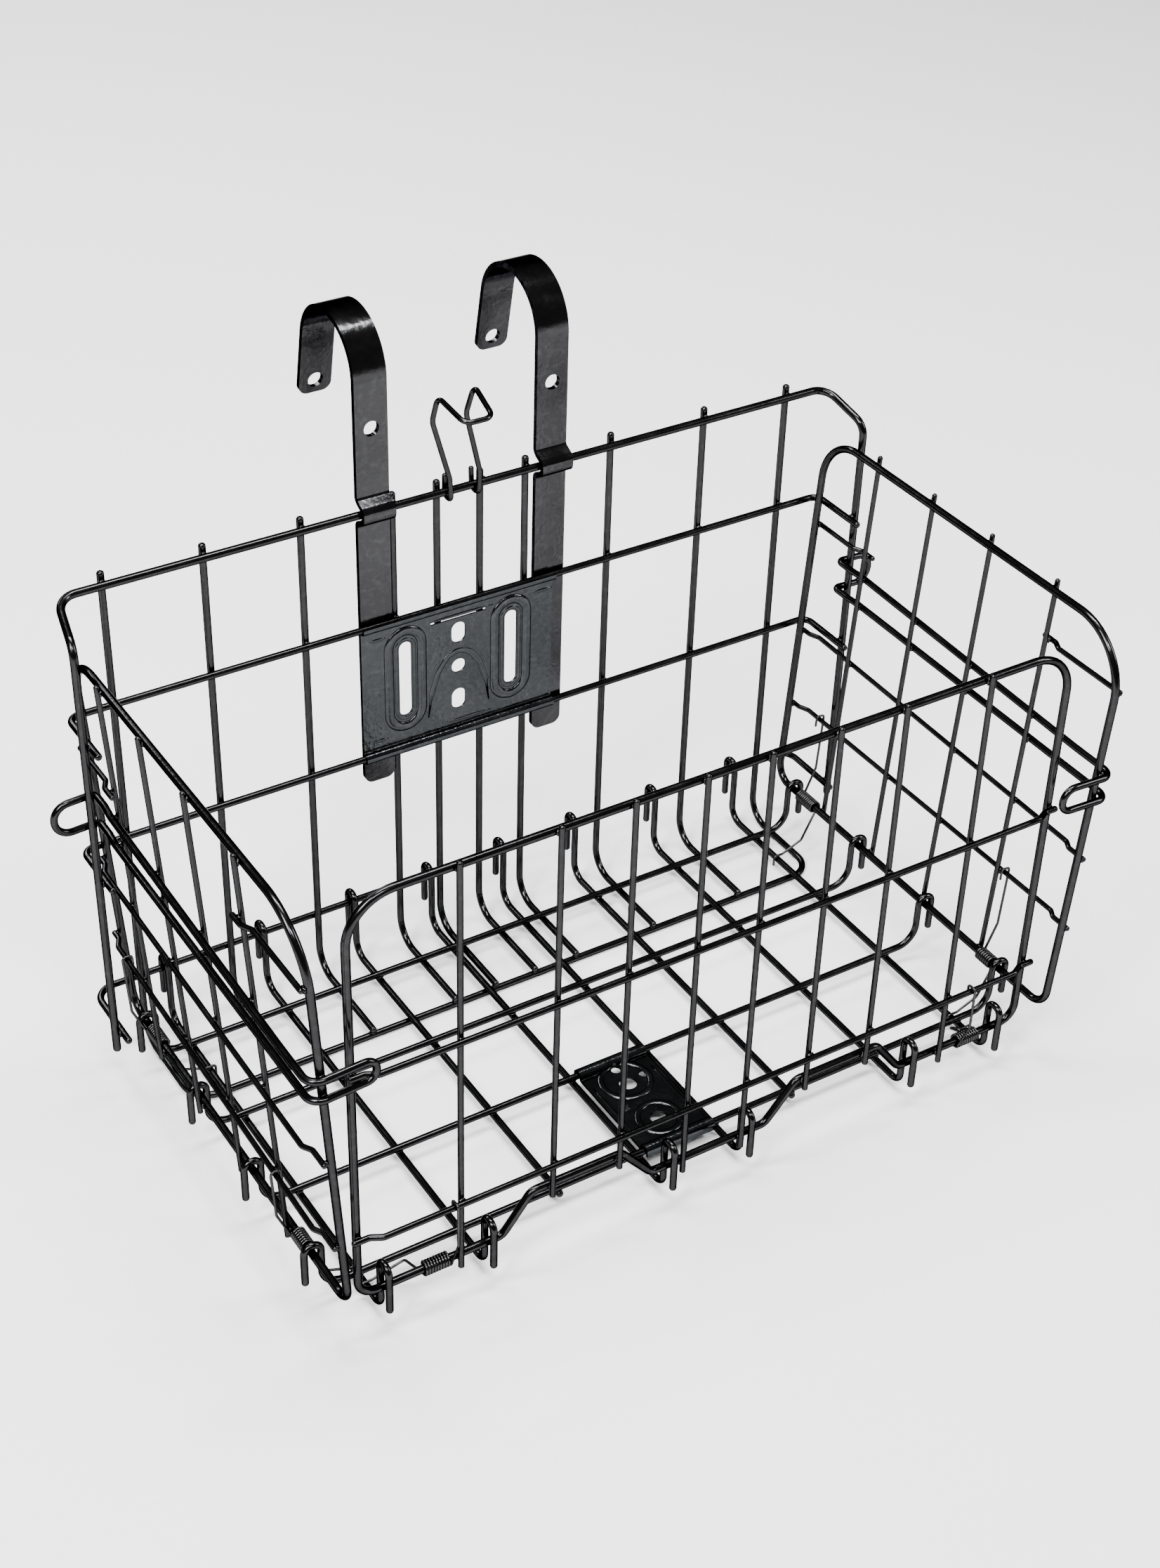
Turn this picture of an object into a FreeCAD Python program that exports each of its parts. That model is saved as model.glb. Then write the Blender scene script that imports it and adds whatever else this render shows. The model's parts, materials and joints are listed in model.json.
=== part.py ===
import FreeCAD, Part
import Sketcher
import math
import os

from FreeCAD import Placement, Rotation, Vector

# Folding wire basket that hangs from a bicycle handlebar.
# X runs to the right as seen from the front, the front panel faces -Y, the hooks are at +Y, and
# Z is up from the lowest foot wire. Every wire is placed by its centre line.

doc = FreeCAD.newDocument("handlebar_basket")
sheet = doc.addObject("Spreadsheet::Sheet", "Sizes")

DRIVING = {
    # wire gauges and sheet metal
    "frame_wire": 3.6, "heavy_wire": 3.2, "front_wire": 2.6, "front_rail_wire": 2.8,
    "light_wire": 2.4, "spring_wire": 1.2, "play": 0.35,
    # back panel: half widths, depths and heights
    "back_depth": 82.9, "back_top": 240.0, "back_half": 187.0, "rail_half": 188.0,
    "leg_depth": 57.9, "leg_drop": 9.0, "leg_bottom": 24.0, "upper_rail_height": 183.2,
    "lower_rail_height": 115.5, "wing_past_leg": 7.5,
    "pivot_rail_height": 33.0, "stub": 5.0, "foot_depth": 33.9, "foot_bend": 12.0,
    # hook straps and mounting plate
    "strap_shift": -2.3, "strap_spacing": 86.7, "strap_width": 15.2, "strap_thick": 2.5,
    "strap_bottom": 100.8, "strap_arc": 23.0, "strap_arc_height": 298.75, "strap_tail": 271.6,
    "strap_flare": 11.0, "bolt_hole": 7.0, "bolt_height": 277.6, "plate_shift": -5.6,
    "plate_width": 96.6, "plate_thick": 0.8, "lip_wrap": 2.4, "slot_spacing": 53.5,
    "slot_width": 6.2, "slot_length": 38.5, "slot_height": 151.1, "centre_hole": 7.0,
    "centre_height": 149.6, "oblong_length": 10.5, "oblong_step": 17.5, "slit_length": 28.0,
    "slit_width": 1.2, "slit_height": 175.3,
    # floor panel
    "floor_height": 5.1, "side_pivot_half": 174.6, "side_pivot_height": 29.3,
    "front_pivot_depth": 118.7, "front_pivot_height": 20.5, "back_hook_top": 38.0,
    "back_hook_tip": 15.5, "front_hook_top": 31.9, "front_hook_tip": 8.5,
    "side_hook_top": 33.6, "side_hook_tip": 13.5, "hook_bend": 8.0, "bracket_thick": 1.2,
    "bracket_width": 34.6, "bracket_hole": 8.0, "bracket_small_hole": 4.5,
    # front panel
    "front_half": 165.8, "front_top": 217.5, "front_corner": 20.0, "front_bottom_corner": 8.0,
    "mid_rail_height": 138.5, "low_rail_height": 54.0, "crank_rise": 18.0,
    # side panels, measured up the panel from its pivot wire
    "side_rear": 76.5, "side_front": 128.0, "side_height": 190.6, "side_rear_corner": 22.0,
    "side_front_corner": 29.0, "side_bottom_corner": 9.0, "side_lean": 3.5,
    "short_rear": 142.8, "short_front": 165.2, "upper_rear": 84.5, "lower_rear": 43.0,
    "left_upper_front": 79.3, "right_upper_front": 81.2, "left_lower_front": 34.3,
    "right_lower_front": 43.7, "latch_upper_rear": 129.9, "latch_lower_rear": 115.4,
    "left_latch_upper_front": 123.8, "right_latch_upper_front": 125.7,
    "latch_lower_front": 114.3, "latch_reach": 18.0, "latch_grip": 20.6,
}
for row, (name, number) in enumerate(DRIVING.items(), start=1):
    sheet.set(f"A{row}", name)
    sheet.set(f"B{row}", str(number))
    sheet.setAlias(f"B{row}", name)
doc.recompute()


def size(name):
    """The value of one driving dimension."""
    return float(getattr(sheet, name))


frame_r, heavy_r, light_r = size("frame_wire") / 2, size("heavy_wire") / 2, size("light_wire") / 2
front_r, front_rail_r = size("front_wire") / 2, size("front_rail_wire") / 2
play = size("play")

# layers of the back panel: the uprights touch the frame wire and both rails from behind, and the
# pivot rail, which carries the floor's hooks, touches the uprights from behind
back_y = size("back_depth")
vertical_y = back_y + frame_r + heavy_r
rail_y = vertical_y - 2 * heavy_r
pivot_y = vertical_y + 2 * heavy_r
strap_y = vertical_y - heavy_r + size("strap_thick") / 2
leg_x = size("rail_half") + heavy_r + frame_r

# spring coils wind close together, clear of the pivot wire
coil_r = frame_r + size("spring_wire") / 2 + play
coil_pitch = size("spring_wire") * 0.97

# the back panel's upright wires: half the span of the outer pair, and where each inner one stands
BACK_OUTER = 167.0
BACK_INNER = [-123.0, -79.0, -36.2, -14.8, 6.4, 29.0, 72.6, 122.0]
# floor and front wires stand in pairs at these half spans; the rest lie at one depth each
FLOOR_LONG = [154.1, 106.5, 60.0, 19.6]
FLOOR_CROSS = [62.9, 10.2, -42.4, -96.8]
FRONT_VERTICALS = [121.2, 78.8, 46.8, 14.8]
SIDE_VERTICALS = [41.8, 2.3, -37.7, -80.4]

parts = []


def keep(feature, label):
    """Names a finished sub-part and lists it for export."""
    feature.Label = label
    parts.append(feature)
    return feature


# ---------------------------------------------------------------- wire bending

def rounded_path(points, radii):
    """Straight runs joined by tangent arcs through a list of corner points."""
    points = [Vector(*p) for p in points]
    if not isinstance(radii, (list, tuple)):
        radii = [radii] * (len(points) - 2)
    edges, start = [], points[0]
    for before, corner, after, radius in zip(points, points[1:], points[2:], radii):
        back, on = (before - corner).normalize(), (after - corner).normalize()
        turn = math.pi - back.getAngle(on)
        setback = radius * math.tan(turn / 2)
        first, last = corner + back * setback, corner + on * setback
        middle = (back + on).normalize()
        through = corner + middle * (radius / math.cos(turn / 2) - radius)
        if (first - start).Length > 1e-4:
            edges.append(Part.LineSegment(start, first).toShape())
        edges.append(Part.Arc(first, through, last).toShape())
        start = last
    if (points[-1] - start).Length > 1e-4:
        edges.append(Part.LineSegment(start, points[-1]).toShape())
    return edges


def swept(edges, radius, round_ends=True):
    """A round wire along a path, with softened ends unless they meet."""
    path = Part.Wire(edges)
    first = edges[0]
    start = first.valueAt(first.FirstParameter)
    heading = first.tangentAt(first.FirstParameter)
    section = Part.Wire(Part.makeCircle(radius, start, heading))
    solid = path.makePipeShell([section], True, False)
    if not round_ends:
        return solid
    ends = [e for f in solid.Faces if isinstance(f.Surface, Part.Plane) for e in f.Edges]
    return solid.makeFillet(radius * 0.8, ends)


def bent_wire(label, points, radii, radius, placement=None):
    """One bent wire as a sub-part."""
    feature = doc.addObject("Part::Feature", label)
    feature.Shape = swept(rounded_path(points, radii), radius)
    if placement is not None:
        feature.Placement = placement
    return keep(feature, label)


def straight_wire(name, gauge, foot, height, direction=Vector(0, 0, 1)):
    """A straight wire with softened ends: a filleted cylinder bound to the gauge."""
    rod = doc.addObject("Part::Cylinder", name + "_rod")
    rod.setExpression("Radius", f"Sizes.{gauge} / 2")
    rod.Height = height
    rod.Placement = Placement(Vector(*foot), Rotation(Vector(0, 0, 1), direction))
    doc.recompute()
    soft = doc.addObject("Part::Fillet", name)
    soft.Base = rod
    end_radius = size(gauge) * 0.4
    soft.Edges = [(1, end_radius, end_radius), (3, end_radius, end_radius)]
    return soft


def wire_group(label, wires, placement=None):
    """Wires that share one node, as separate solids."""
    group = doc.addObject("Part::Compound", label)
    group.Links = wires
    if placement is not None:
        group.Placement = placement
    return keep(group, label)


# ---------------------------------------------------------------- sketched sheet metal

def origin_plane(body, role):
    """One of a body's own origin planes."""
    return next(o for o in body.Origin.OriginFeatures if o.Role == role)


def sketch_on(body, role, name, offset=0.0):
    """A sketch on an origin plane of its body, moved along the plane's normal."""
    sketch = body.newObject("Sketcher::SketchObject", name)
    sketch.AttachmentSupport = [(origin_plane(body, role), "")]
    sketch.MapMode = "FlatFace"
    sketch.AttachmentOffset = Placement(Vector(0, 0, offset), Rotation())
    return sketch


def add_rectangle(sketch, centre, width, height):
    """A constrained rectangle whose width and height follow expressions."""
    x, y = centre
    wide, tall = 10.0, 10.0
    corners = [Vector(x - wide, y - tall, 0), Vector(x + wide, y - tall, 0),
               Vector(x + wide, y + tall, 0), Vector(x - wide, y + tall, 0)]
    first = sketch.GeometryCount
    for a, b in zip(corners, corners[1:] + corners[:1]):
        sketch.addGeometry(Part.LineSegment(a, b), False)
    rule = Sketcher.Constraint
    for side in range(4):
        sketch.addConstraint(rule("Coincident", first + side, 2, first + (side + 1) % 4, 1))
    for side, kind in enumerate(("Horizontal", "Vertical", "Horizontal", "Vertical")):
        sketch.addConstraint(rule(kind, first + side))
    bottom_left = (-1, 1, first, 1)
    for kind, value, expression in (
        ("DistanceX", x - wide, f"{x} - ({width}) / 2"),
        ("DistanceY", y - tall, f"{y} - ({height}) / 2"),
    ):
        index = sketch.addConstraint(rule(kind, *bottom_left, value))
        sketch.setExpression(f"Constraints[{index}]", expression)
    index = sketch.addConstraint(rule("DistanceX", first, 1, first, 2, 2 * wide))
    sketch.setExpression(f"Constraints[{index}]", width)
    index = sketch.addConstraint(rule("DistanceY", first + 1, 1, first + 1, 2, 2 * tall))
    sketch.setExpression(f"Constraints[{index}]", height)


def add_circle(sketch, centre, diameter):
    """A circle whose diameter follows an expression."""
    index = sketch.addGeometry(Part.Circle(Vector(*centre, 0), Vector(0, 0, 1), 2.0), False)
    rule = sketch.addConstraint(Sketcher.Constraint("Diameter", index, 4.0))
    sketch.setExpression(f"Constraints[{rule}]", diameter)


def add_upright_slot(sketch, centre, width, length):
    """A slot with round ends that stands along the sketch's second axis."""
    x, y = centre
    r, reach = width / 2, (length - width) / 2
    sketch.addGeometry([
        Part.LineSegment(Vector(x + r, y - reach, 0), Vector(x + r, y + reach, 0)),
        Part.LineSegment(Vector(x - r, y + reach, 0), Vector(x - r, y - reach, 0)),
        Part.Arc(Vector(x + r, y + reach, 0), Vector(x, y + reach + r, 0),
                 Vector(x - r, y + reach, 0)),
        Part.Arc(Vector(x - r, y - reach, 0), Vector(x, y - reach - r, 0),
                 Vector(x + r, y - reach, 0)),
    ], False)


def cut_through(body, sketch, name, both=True):
    """A pocket through the whole body."""
    before = body.Shape.Volume
    pocket = body.newObject("PartDesign::Pocket", name)
    pocket.Profile = sketch
    pocket.Type = "ThroughAll"
    pocket.Midplane = both
    body.Tip = pocket
    doc.recompute()
    if body.Shape.Volume >= before:
        raise RuntimeError(name + " cuts nothing")


def band(label, outline, width, x_centre):
    """A sheet-metal strip: a path in the YZ plane, thickened and padded along X."""
    body = doc.addObject("PartDesign::Body", label)
    profile = sketch_on(body, "YZ_Plane", label + "_profile", x_centre)
    for edge in outline:
        low, high = edge.ParameterRange
        curve = edge.Curve
        ends = [Vector(p.y, p.z, 0) for p in (edge.valueAt(low), edge.valueAt(high))]
        if isinstance(curve, Part.Circle):
            p = edge.valueAt((low + high) / 2)
            profile.addGeometry(Part.Arc(ends[0], Vector(p.y, p.z, 0), ends[1]), False)
        else:
            profile.addGeometry(Part.LineSegment(*ends), False)
    pad = body.newObject("PartDesign::Pad", label + "_pad")
    pad.Profile = profile
    pad.Midplane = True
    pad.setExpression("Length", width)
    body.Tip = pad
    doc.recompute()
    return body


def thick_outline(points, radii, thick):
    """The closed outline of a sheet whose middle line bends through these YZ points."""
    left, right = [], []
    points = [Vector(0, *p) for p in points]
    for i, here in enumerate(points):
        ways = []
        if i:
            ways.append((here - points[i - 1]).normalize())
        if i < len(points) - 1:
            ways.append((points[i + 1] - here).normalize())
        normals = [Vector(0, -w.z, w.y) for w in ways]
        normal = (normals[0] + normals[-1]).normalize()
        reach = thick / 2 / normal.dot(normals[0])
        left.append(here + normal * reach)
        right.append(here - normal * reach)
    sides = []
    for side, line in ((1, left), (-1, right)):
        bends = []
        for i, radius in enumerate(radii, start=1):
            a, b = points[i] - points[i - 1], points[i + 1] - points[i]
            turns_left = a.cross(b).x > 0
            bends.append(radius - thick / 2 if turns_left == (side == 1) else radius + thick / 2)
        sides.append(rounded_path(line, bends))
    caps = [Part.LineSegment(right[0], left[0]).toShape(),
            Part.LineSegment(left[-1], right[-1]).toShape()]
    return sides[0] + [caps[1]] + sides[1] + [caps[0]]


# ---------------------------------------------------------------- back panel

def make_back_panel():
    """A frame wire and three rails that wrap round it, crossed by one loop and eight uprights."""
    top, half, foot = size("back_top"), size("back_half"), size("leg_bottom")
    leg_y, leg_top = size("leg_depth"), top - size("leg_drop")
    bent_wire("back_frame_wire", [
        (-leg_x, leg_y, foot), (-leg_x, leg_y, leg_top), (-half, back_y, top),
        (half, back_y, top), (leg_x, leg_y, leg_top), (leg_x, leg_y, foot),
    ], [8.0, 9.0, 9.0, 8.0], frame_r)

    wing_x, end_y = size("rail_half"), leg_y - size("wing_past_leg")
    for which, y, corner in (("upper", rail_y, 5.0), ("lower", rail_y, 5.0), ("pivot", pivot_y, 9.0)):
        height = size(which + "_rail_height")
        bent_wire(f"back_{which}_rail", [
            (-wing_x, end_y, height), (-wing_x, y, height),
            (wing_x, y, height), (wing_x, end_y, height),
        ], corner, heavy_r)

    stub_top, bend, foot_y = top + size("stub"), size("foot_bend"), size("foot_depth")
    loop_z = heavy_r
    foot_z = loop_z + 2 * heavy_r
    outer = BACK_OUTER
    bent_wire("back_foot_loop", [
        (-outer, vertical_y, stub_top), (-outer, vertical_y, loop_z), (-outer, foot_y, loop_z),
        (outer, foot_y, loop_z), (outer, vertical_y, loop_z), (outer, vertical_y, stub_top),
    ], bend, heavy_r)
    for number, x in enumerate(BACK_INNER, start=1):
        bent_wire(f"back_upright_{number}", [
            (x, vertical_y, stub_top), (x, vertical_y, foot_z), (x, foot_y - heavy_r, foot_z),
        ], bend, heavy_r)


def make_strap(label, x):
    """A flat hook: up the panel, over the top rail with a crimp, and over the handlebar."""
    thick, arc = size("strap_thick"), size("strap_arc")
    plane = strap_y
    rail = size("back_top")
    crimp = back_y - frame_r - thick / 2 - 0.1
    crest, tail = size("strap_arc_height") + arc, size("strap_tail")
    flare = math.radians(size("strap_flare"))
    corner = plane + arc * (1 + math.tan(math.pi / 4 - flare / 2))
    arc_bend = arc - 0.02
    outline = thick_outline([
        (plane, size("strap_bottom")), (plane, rail - 5.6), (crimp, rail - 2.5),
        (crimp, rail + 2.5), (plane, rail + 5.6), (plane, crest), (corner, crest),
        (corner + (crest - tail) * math.tan(flare), tail),
    ], [2.8, 2.8, 2.8, 2.8, arc_bend, arc_bend], thick)
    body = band(label, outline, "Sizes.strap_width", x)
    holes = sketch_on(body, "XZ_Plane", label + "_holes")
    add_circle(holes, (x, size("bolt_height")), "Sizes.bolt_hole")
    doc.recompute()
    cut_through(body, holes, label + "_bolt_holes")
    ends = (size("strap_bottom"), size("strap_tail"))
    upright = [f"Edge{i}" for i, e in enumerate(body.Shape.Edges, start=1)
               if abs(e.Length - thick) < 0.01 and abs(e.tangentAt(e.FirstParameter).y) > 0.9
               and min(abs(e.CenterOfMass.z - z) for z in ends) < 0.5]
    base = body.Tip
    corners = body.newObject("PartDesign::Fillet", label + "_corners")
    corners.Base = (base, upright)
    corners.Radius = size("strap_width") * 0.28
    body.Tip = corners
    doc.recompute()
    keep(body, label)


def make_mounting_plate():
    """A stamped plate in front of the straps, rolled over both rails, with slots and holes."""
    label = "mounting_plate"
    thick = size("plate_thick")
    sheet_y = vertical_y - heavy_r - thick / 2
    roll = heavy_r + thick / 2 + 0.1
    top, bottom = size("upper_rail_height"), size("lower_rail_height")
    front = rail_y - roll
    outline = thick_outline([
        (front, top + 0.9), (front, top - roll), (sheet_y, top - roll),
        (sheet_y, bottom + roll), (front, bottom + roll), (front, bottom - roll),
        (front + size("lip_wrap"), bottom - roll),
    ], [2.0, 0.9, 0.9, 2.0, 2.0], thick)
    centre_x = size("plate_shift")
    body = band(label, outline, "Sizes.plate_width", centre_x)
    openings = sketch_on(body, "XZ_Plane", "plate_openings")
    for side in (-1, 1):
        x = centre_x + side * size("slot_spacing") / 2
        add_upright_slot(openings, (x, size("slot_height")), size("slot_width"), size("slot_length"))
    centre = size("centre_height")
    add_circle(openings, (centre_x, centre), "Sizes.centre_hole")
    for z in (centre - size("oblong_step"), centre + size("oblong_step")):
        add_upright_slot(openings, (centre_x, z), size("centre_hole"), size("oblong_length"))
    slit = (centre_x, size("slit_height"))
    add_rectangle(openings, slit, "Sizes.slit_length", "Sizes.slit_width")
    doc.recompute()
    cut_through(body, openings, "plate_cutouts")
    keep(body, label)


def make_cable_hook():
    """A wire hook that keeps the bicycle's cables clear of the basket."""
    grip = frame_r + light_r + 0.15
    near, far = back_y - grip, back_y + grip
    rail = size("back_top")
    under, up = rail - grip, rail + 7.0
    shoulder, peak, reach = rail + 36.0, rail + 47.0, 20.0
    bent_wire("cable_hook_wire", [
        (-10.8, far, up), (-11.0, far, under), (-11.2, near, under), (-12.0, near, up + 1.0),
        (-19.5, near + 1.0, shoulder), (-17.0, near + 0.5, peak), (-15.5, near - reach, peak - 3.5),
        (-2.5, near - reach, peak - 3.5), (0.2, near + 0.5, peak + 1.0),
        (-3.4, near + 1.0, shoulder), (2.6, near, up + 1.0), (2.4, near, under),
        (2.2, far, under), (2.0, far, up),
    ], [2.9, 2.9, 6.0, 8.0, 3.2, 4.5, 4.5, 3.2, 8.0, 6.0, 2.9, 2.9], light_r)


# ---------------------------------------------------------------- floor panel

def make_floor():
    """Long wires that hook over the back and front wires, on cross wires that hook the sides."""
    low = size("floor_height")
    high = low + 2 * heavy_r
    bend, turn = size("hook_bend"), 0.98
    back_grip = 2 * heavy_r + play
    front_grip = side_grip = frame_r + heavy_r + play
    rail_z, back_top = size("pivot_rail_height"), size("back_hook_top")
    front_y, front_top = -size("front_pivot_depth"), size("front_hook_top")
    back_hook = [(pivot_y + back_grip, size("back_hook_tip")), (pivot_y + back_grip, back_top),
                 (pivot_y - back_grip, back_top), (pivot_y - back_grip, low)]
    front_hook = [(front_y + front_grip, low), (front_y + front_grip, front_top),
                  (front_y - front_grip, front_top), (front_y - front_grip, size("front_hook_tip"))]
    back_bends = [back_grip * turn, back_grip * turn, bend]
    front_bends = [5.0, front_grip * turn, front_grip * turn]
    short_end = [(FLOOR_CROSS[-1] - 2.2, low)]
    for number, x in enumerate([-x for x in FLOOR_LONG] + FLOOR_LONG[::-1], start=1):
        short = abs(x) == FLOOR_LONG[2]
        line = back_hook + (short_end if short else front_hook)
        bends = back_bends + ([] if short else front_bends)
        bent_wire(f"floor_long_wire_{number}", [(x, y, z) for y, z in line], bends, heavy_r)

    pivot, top, tip = size("side_pivot_half"), size("side_hook_top"), size("side_hook_tip")
    side_hook = [(pivot - side_grip, high), (pivot - side_grip, top), (pivot + side_grip, top),
                 (pivot + side_grip, tip)]
    side_bends = [10.0, side_grip * turn, side_grip * turn]
    for number, y in enumerate(FLOOR_CROSS, start=1):
        line = [(-x, y, z) for x, z in reversed(side_hook)] + [(x, y, z) for x, z in side_hook]
        bent_wire(f"floor_cross_wire_{number}", line, side_bends[::-1] + side_bends, heavy_r)
    make_floor_bracket(high)


def make_floor_bracket(wire_z):
    """A stamped plate under the middle, rolled over the two front cross wires."""
    label = "floor_bracket"
    thick = size("bracket_thick")
    roll = heavy_r + thick / 2 + 0.15
    crest, flat = wire_z + roll, wire_z - 1.1
    front, rear = FLOOR_CROSS[-1], FLOOR_CROSS[-2]
    outline = thick_outline([
        (front - roll, flat - 0.8), (front - roll, crest), (front + roll, crest),
        (front + roll, flat), (rear - roll, flat), (rear - roll, crest), (rear + roll, crest),
        (rear + roll, flat - 0.8),
    ], [2.3, 2.3, 0.9, 0.9, 2.3, 2.3], thick)
    body = band(label, outline, "Sizes.bracket_width", 0.0)
    holes = sketch_on(body, "XY_Plane", "bracket_holes")
    middle = (front + rear) / 2
    for y in (middle - 12.5, middle + 12.5):
        add_circle(holes, (0, y), "Sizes.bracket_hole")
    for x, y in ((9.5, middle + 14.5), (0.0, middle + 22.5), (-9.5, middle)):
        add_circle(holes, (x, y), "Sizes.bracket_small_hole")
    doc.recompute()
    cut_through(body, holes, "bracket_cutouts")
    keep(body, label)


# ---------------------------------------------------------------- front panel

def make_front_panel():
    """A closed frame whose lower wire is cranked up twice, with eight uprights and two rails."""
    y = -size("front_pivot_depth")
    base, top = size("front_pivot_height"), size("front_top")
    half, high = size("front_half"), size("front_pivot_height") + size("crank_rise")
    crank = [(29.0, base), (44.0, high), (87.0, high), (100.5, base)]
    low_line = [(-x, z) for x, z in reversed(crank)] + crank
    corner, bottom = size("front_corner"), size("front_bottom_corner")
    start = [(0.0, top), (half, top), (half, base)]
    end = [(-half, base), (-half, top), (0.0, top)]
    outline = start + low_line[::-1] + end
    bends = [corner, bottom] + [5.0] * 8 + [bottom, corner]
    frame = doc.addObject("Part::Feature", "front_frame_wire")
    path = rounded_path([(x, y, z) for x, z in outline], bends)
    frame.Shape = swept(path, frame_r, round_ends=False)
    keep(frame, "front_frame_wire")

    upright_y = y - frame_r - front_r
    rods = []
    for side in (-1, 1):
        for index, x in enumerate(FRONT_VERTICALS):
            on_crank = index in (1, 2)
            foot = (high if on_crank else base) - 4.0
            name = f"front_upright_{'left' if side < 0 else 'right'}_{index + 1}"
            rods.append(straight_wire(name, "front_wire", (side * x, upright_y, foot),
                                      top + 4.0 - foot))
    wire_group("front_upright_wires", rods)

    rail_face = upright_y - front_r - front_rail_r
    squeezed = y - frame_r - front_rail_r
    for label, z, reach in (("front_mid_rail", size("mid_rail_height"), 2.6),
                            ("front_low_rail", size("low_rail_height"), 3.6)):
        side = [(half - 9.0, rail_face), (half - 4.0, squeezed), (half + reach, squeezed)]
        line = [(-x, depth, z) for x, depth in reversed(side)] + [(x, depth, z) for x, depth in side]
        bent_wire(label, line, 3.0, front_rail_r)


# ---------------------------------------------------------------- side panels

def side_placement(side):
    """Moves a panel drawn upright at the origin onto its pivot wire, leaning outwards."""
    turn = Rotation(Vector(0, 1, 0), side * size("side_lean"))
    return Placement(Vector(side * size("side_pivot_half"), 0, size("side_pivot_height")), turn)


def make_side_panel(word, side):
    """One side panel. Drawn in its own plane: X is outwards, Z is up the panel."""
    place = side_placement(side)
    rear, front, height = size("side_rear"), -size("side_front"), size("side_height")
    frame = doc.addObject("Part::Feature", word + "_frame_wire")
    outline = [(0, 0, 0), (0, rear, 0), (0, rear, height), (0, front, height),
               (0, front, 0), (0, 0, 0)]
    bends = [size("side_bottom_corner"), size("side_rear_corner"), size("side_front_corner"),
             size("side_bottom_corner")]
    frame.Shape = swept(rounded_path(outline, bends), frame_r, round_ends=False)
    frame.Placement = place
    keep(frame, word + "_frame_wire")

    out = frame_r + light_r
    rods = [straight_wire(f"{word}_upright_{n}", "light_wire", (side * out, y, -3.0), height + 7.0)
            for n, y in enumerate(SIDE_VERTICALS, start=1)]
    wire_group(word + "_upright_wires", rods, place)

    rail, squeezed = frame_r + 3 * light_r, frame_r + light_r
    inset, step = 9.0, 5.0
    for which in ("upper", "lower"):
        label = f"_{which}_rail"
        rear_s, front_s = size(which + "_rear"), size(f"{word}_{which}_front")
        line = [(squeezed, rear + 1.5, rear_s), (squeezed, rear - inset + step, rear_s),
                (rail, rear - inset, rear_s), (rail, front + inset + 4.0, front_s),
                (squeezed, front + inset, front_s), (squeezed, front - 1.6, front_s)]
        bent_wire(word + label, [(side * x, y, z) for x, y, z in line], 3.0, light_r, place)

    rear_s, first = size("short_rear"), SIDE_VERTICALS[0]
    short_rear = [(squeezed, rear + 1.5, rear_s), (squeezed, first + 9.0, rear_s),
                  (rail, first + 4.5, rear_s), (rail, first - 4.0, rear_s)]
    front_s, last = size("short_front"), SIDE_VERTICALS[-1]
    short_front = [(rail, last + 4.0, front_s), (rail, last - 4.0, front_s),
                   (squeezed, last - 8.5, front_s), (squeezed, front - 0.5, front_s)]
    wires = []
    for name, line in (("rear", short_rear), ("front", short_front)):
        piece = doc.addObject("Part::Feature", f"{word}_short_{name}")
        piece.Shape = swept(rounded_path([(side * x, y, z) for x, y, z in line], 3.0), light_r)
        wires.append(piece)
    wire_group(word + "_short_rails", wires, place)
    make_latch_loop(word, side, place)


def make_latch_loop(word, side, place):
    """A closed double rail: it hooks behind the back leg and across the front panel's leg."""
    upper, lower = size("latch_upper_rear"), size("latch_lower_rear")
    upper_front, lower_front = size(word + "_latch_upper_front"), size("latch_lower_front")
    out = frame_r + 2 * light_r + heavy_r
    lean = math.radians(size("side_lean"))
    leg_in = leg_x - frame_r - heavy_r - play - size("side_pivot_half")
    tuck = leg_in / math.cos(lean) - upper * math.tan(lean) - 0.1
    leg_y = size("leg_depth")
    behind = leg_y + frame_r + heavy_r + play + 0.3
    front = -size("side_front") - frame_r - heavy_r - 0.1
    reach, grip = out + size("latch_reach"), -size("latch_grip")
    rear_part = [(reach, behind), (tuck, behind), (tuck, leg_y - 6.0), (out, leg_y - 14.0)]
    front_part = [(out, front + 24.0), (out, front), (grip, front)]
    ahead = ([(x, y, upper) for x, y in rear_part] + [(x, y, upper_front) for x, y in front_part])
    back = ([(x, y, lower) for x, y in rear_part] + [(x, y, lower_front) for x, y in front_part])
    joint_gap, middle = 0.02, (upper + lower) / 2
    first, last = (reach, behind, middle + joint_gap), (reach, behind, middle - joint_gap)
    line = [(side * x, y, z) for x, y, z in [first] + ahead + back[::-1] + [last]]
    rear_bend, front_bend = (upper - lower) / 2 * 0.96, (upper_front - lower_front) / 2 * 0.96
    bends = [rear_bend, 3.0, 5.0, 8.0, 30.0, 6.0, front_bend]
    latch = doc.addObject("Part::Feature", word + "_latch_loop")
    latch.Shape = swept(rounded_path(line, bends + bends[::-1]), heavy_r, round_ends=False)
    latch.Placement = place
    keep(latch, word + "_latch_loop")


# ---------------------------------------------------------------- torsion springs

def make_spring(label, centre, axis, turns, first_leg, second_leg):
    """Close coils round a pivot wire, with a leg to the panel and a leg to the floor."""
    wire = size("spring_wire") / 2
    centre, axis = Vector(*centre), Vector(*axis)
    coils = [Part.makeTorus(coil_r, wire, centre + axis * (coil_pitch * (i - (turns - 1) / 2)), axis)
             for i in range(turns)]
    legs = [swept(rounded_path(line, 1.6), wire) for line in (first_leg, second_leg)]
    spring = doc.addObject("Part::Feature", label)
    spring.Shape = coils[0].multiFuse(coils[1:] + legs)
    keep(spring, label)


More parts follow.
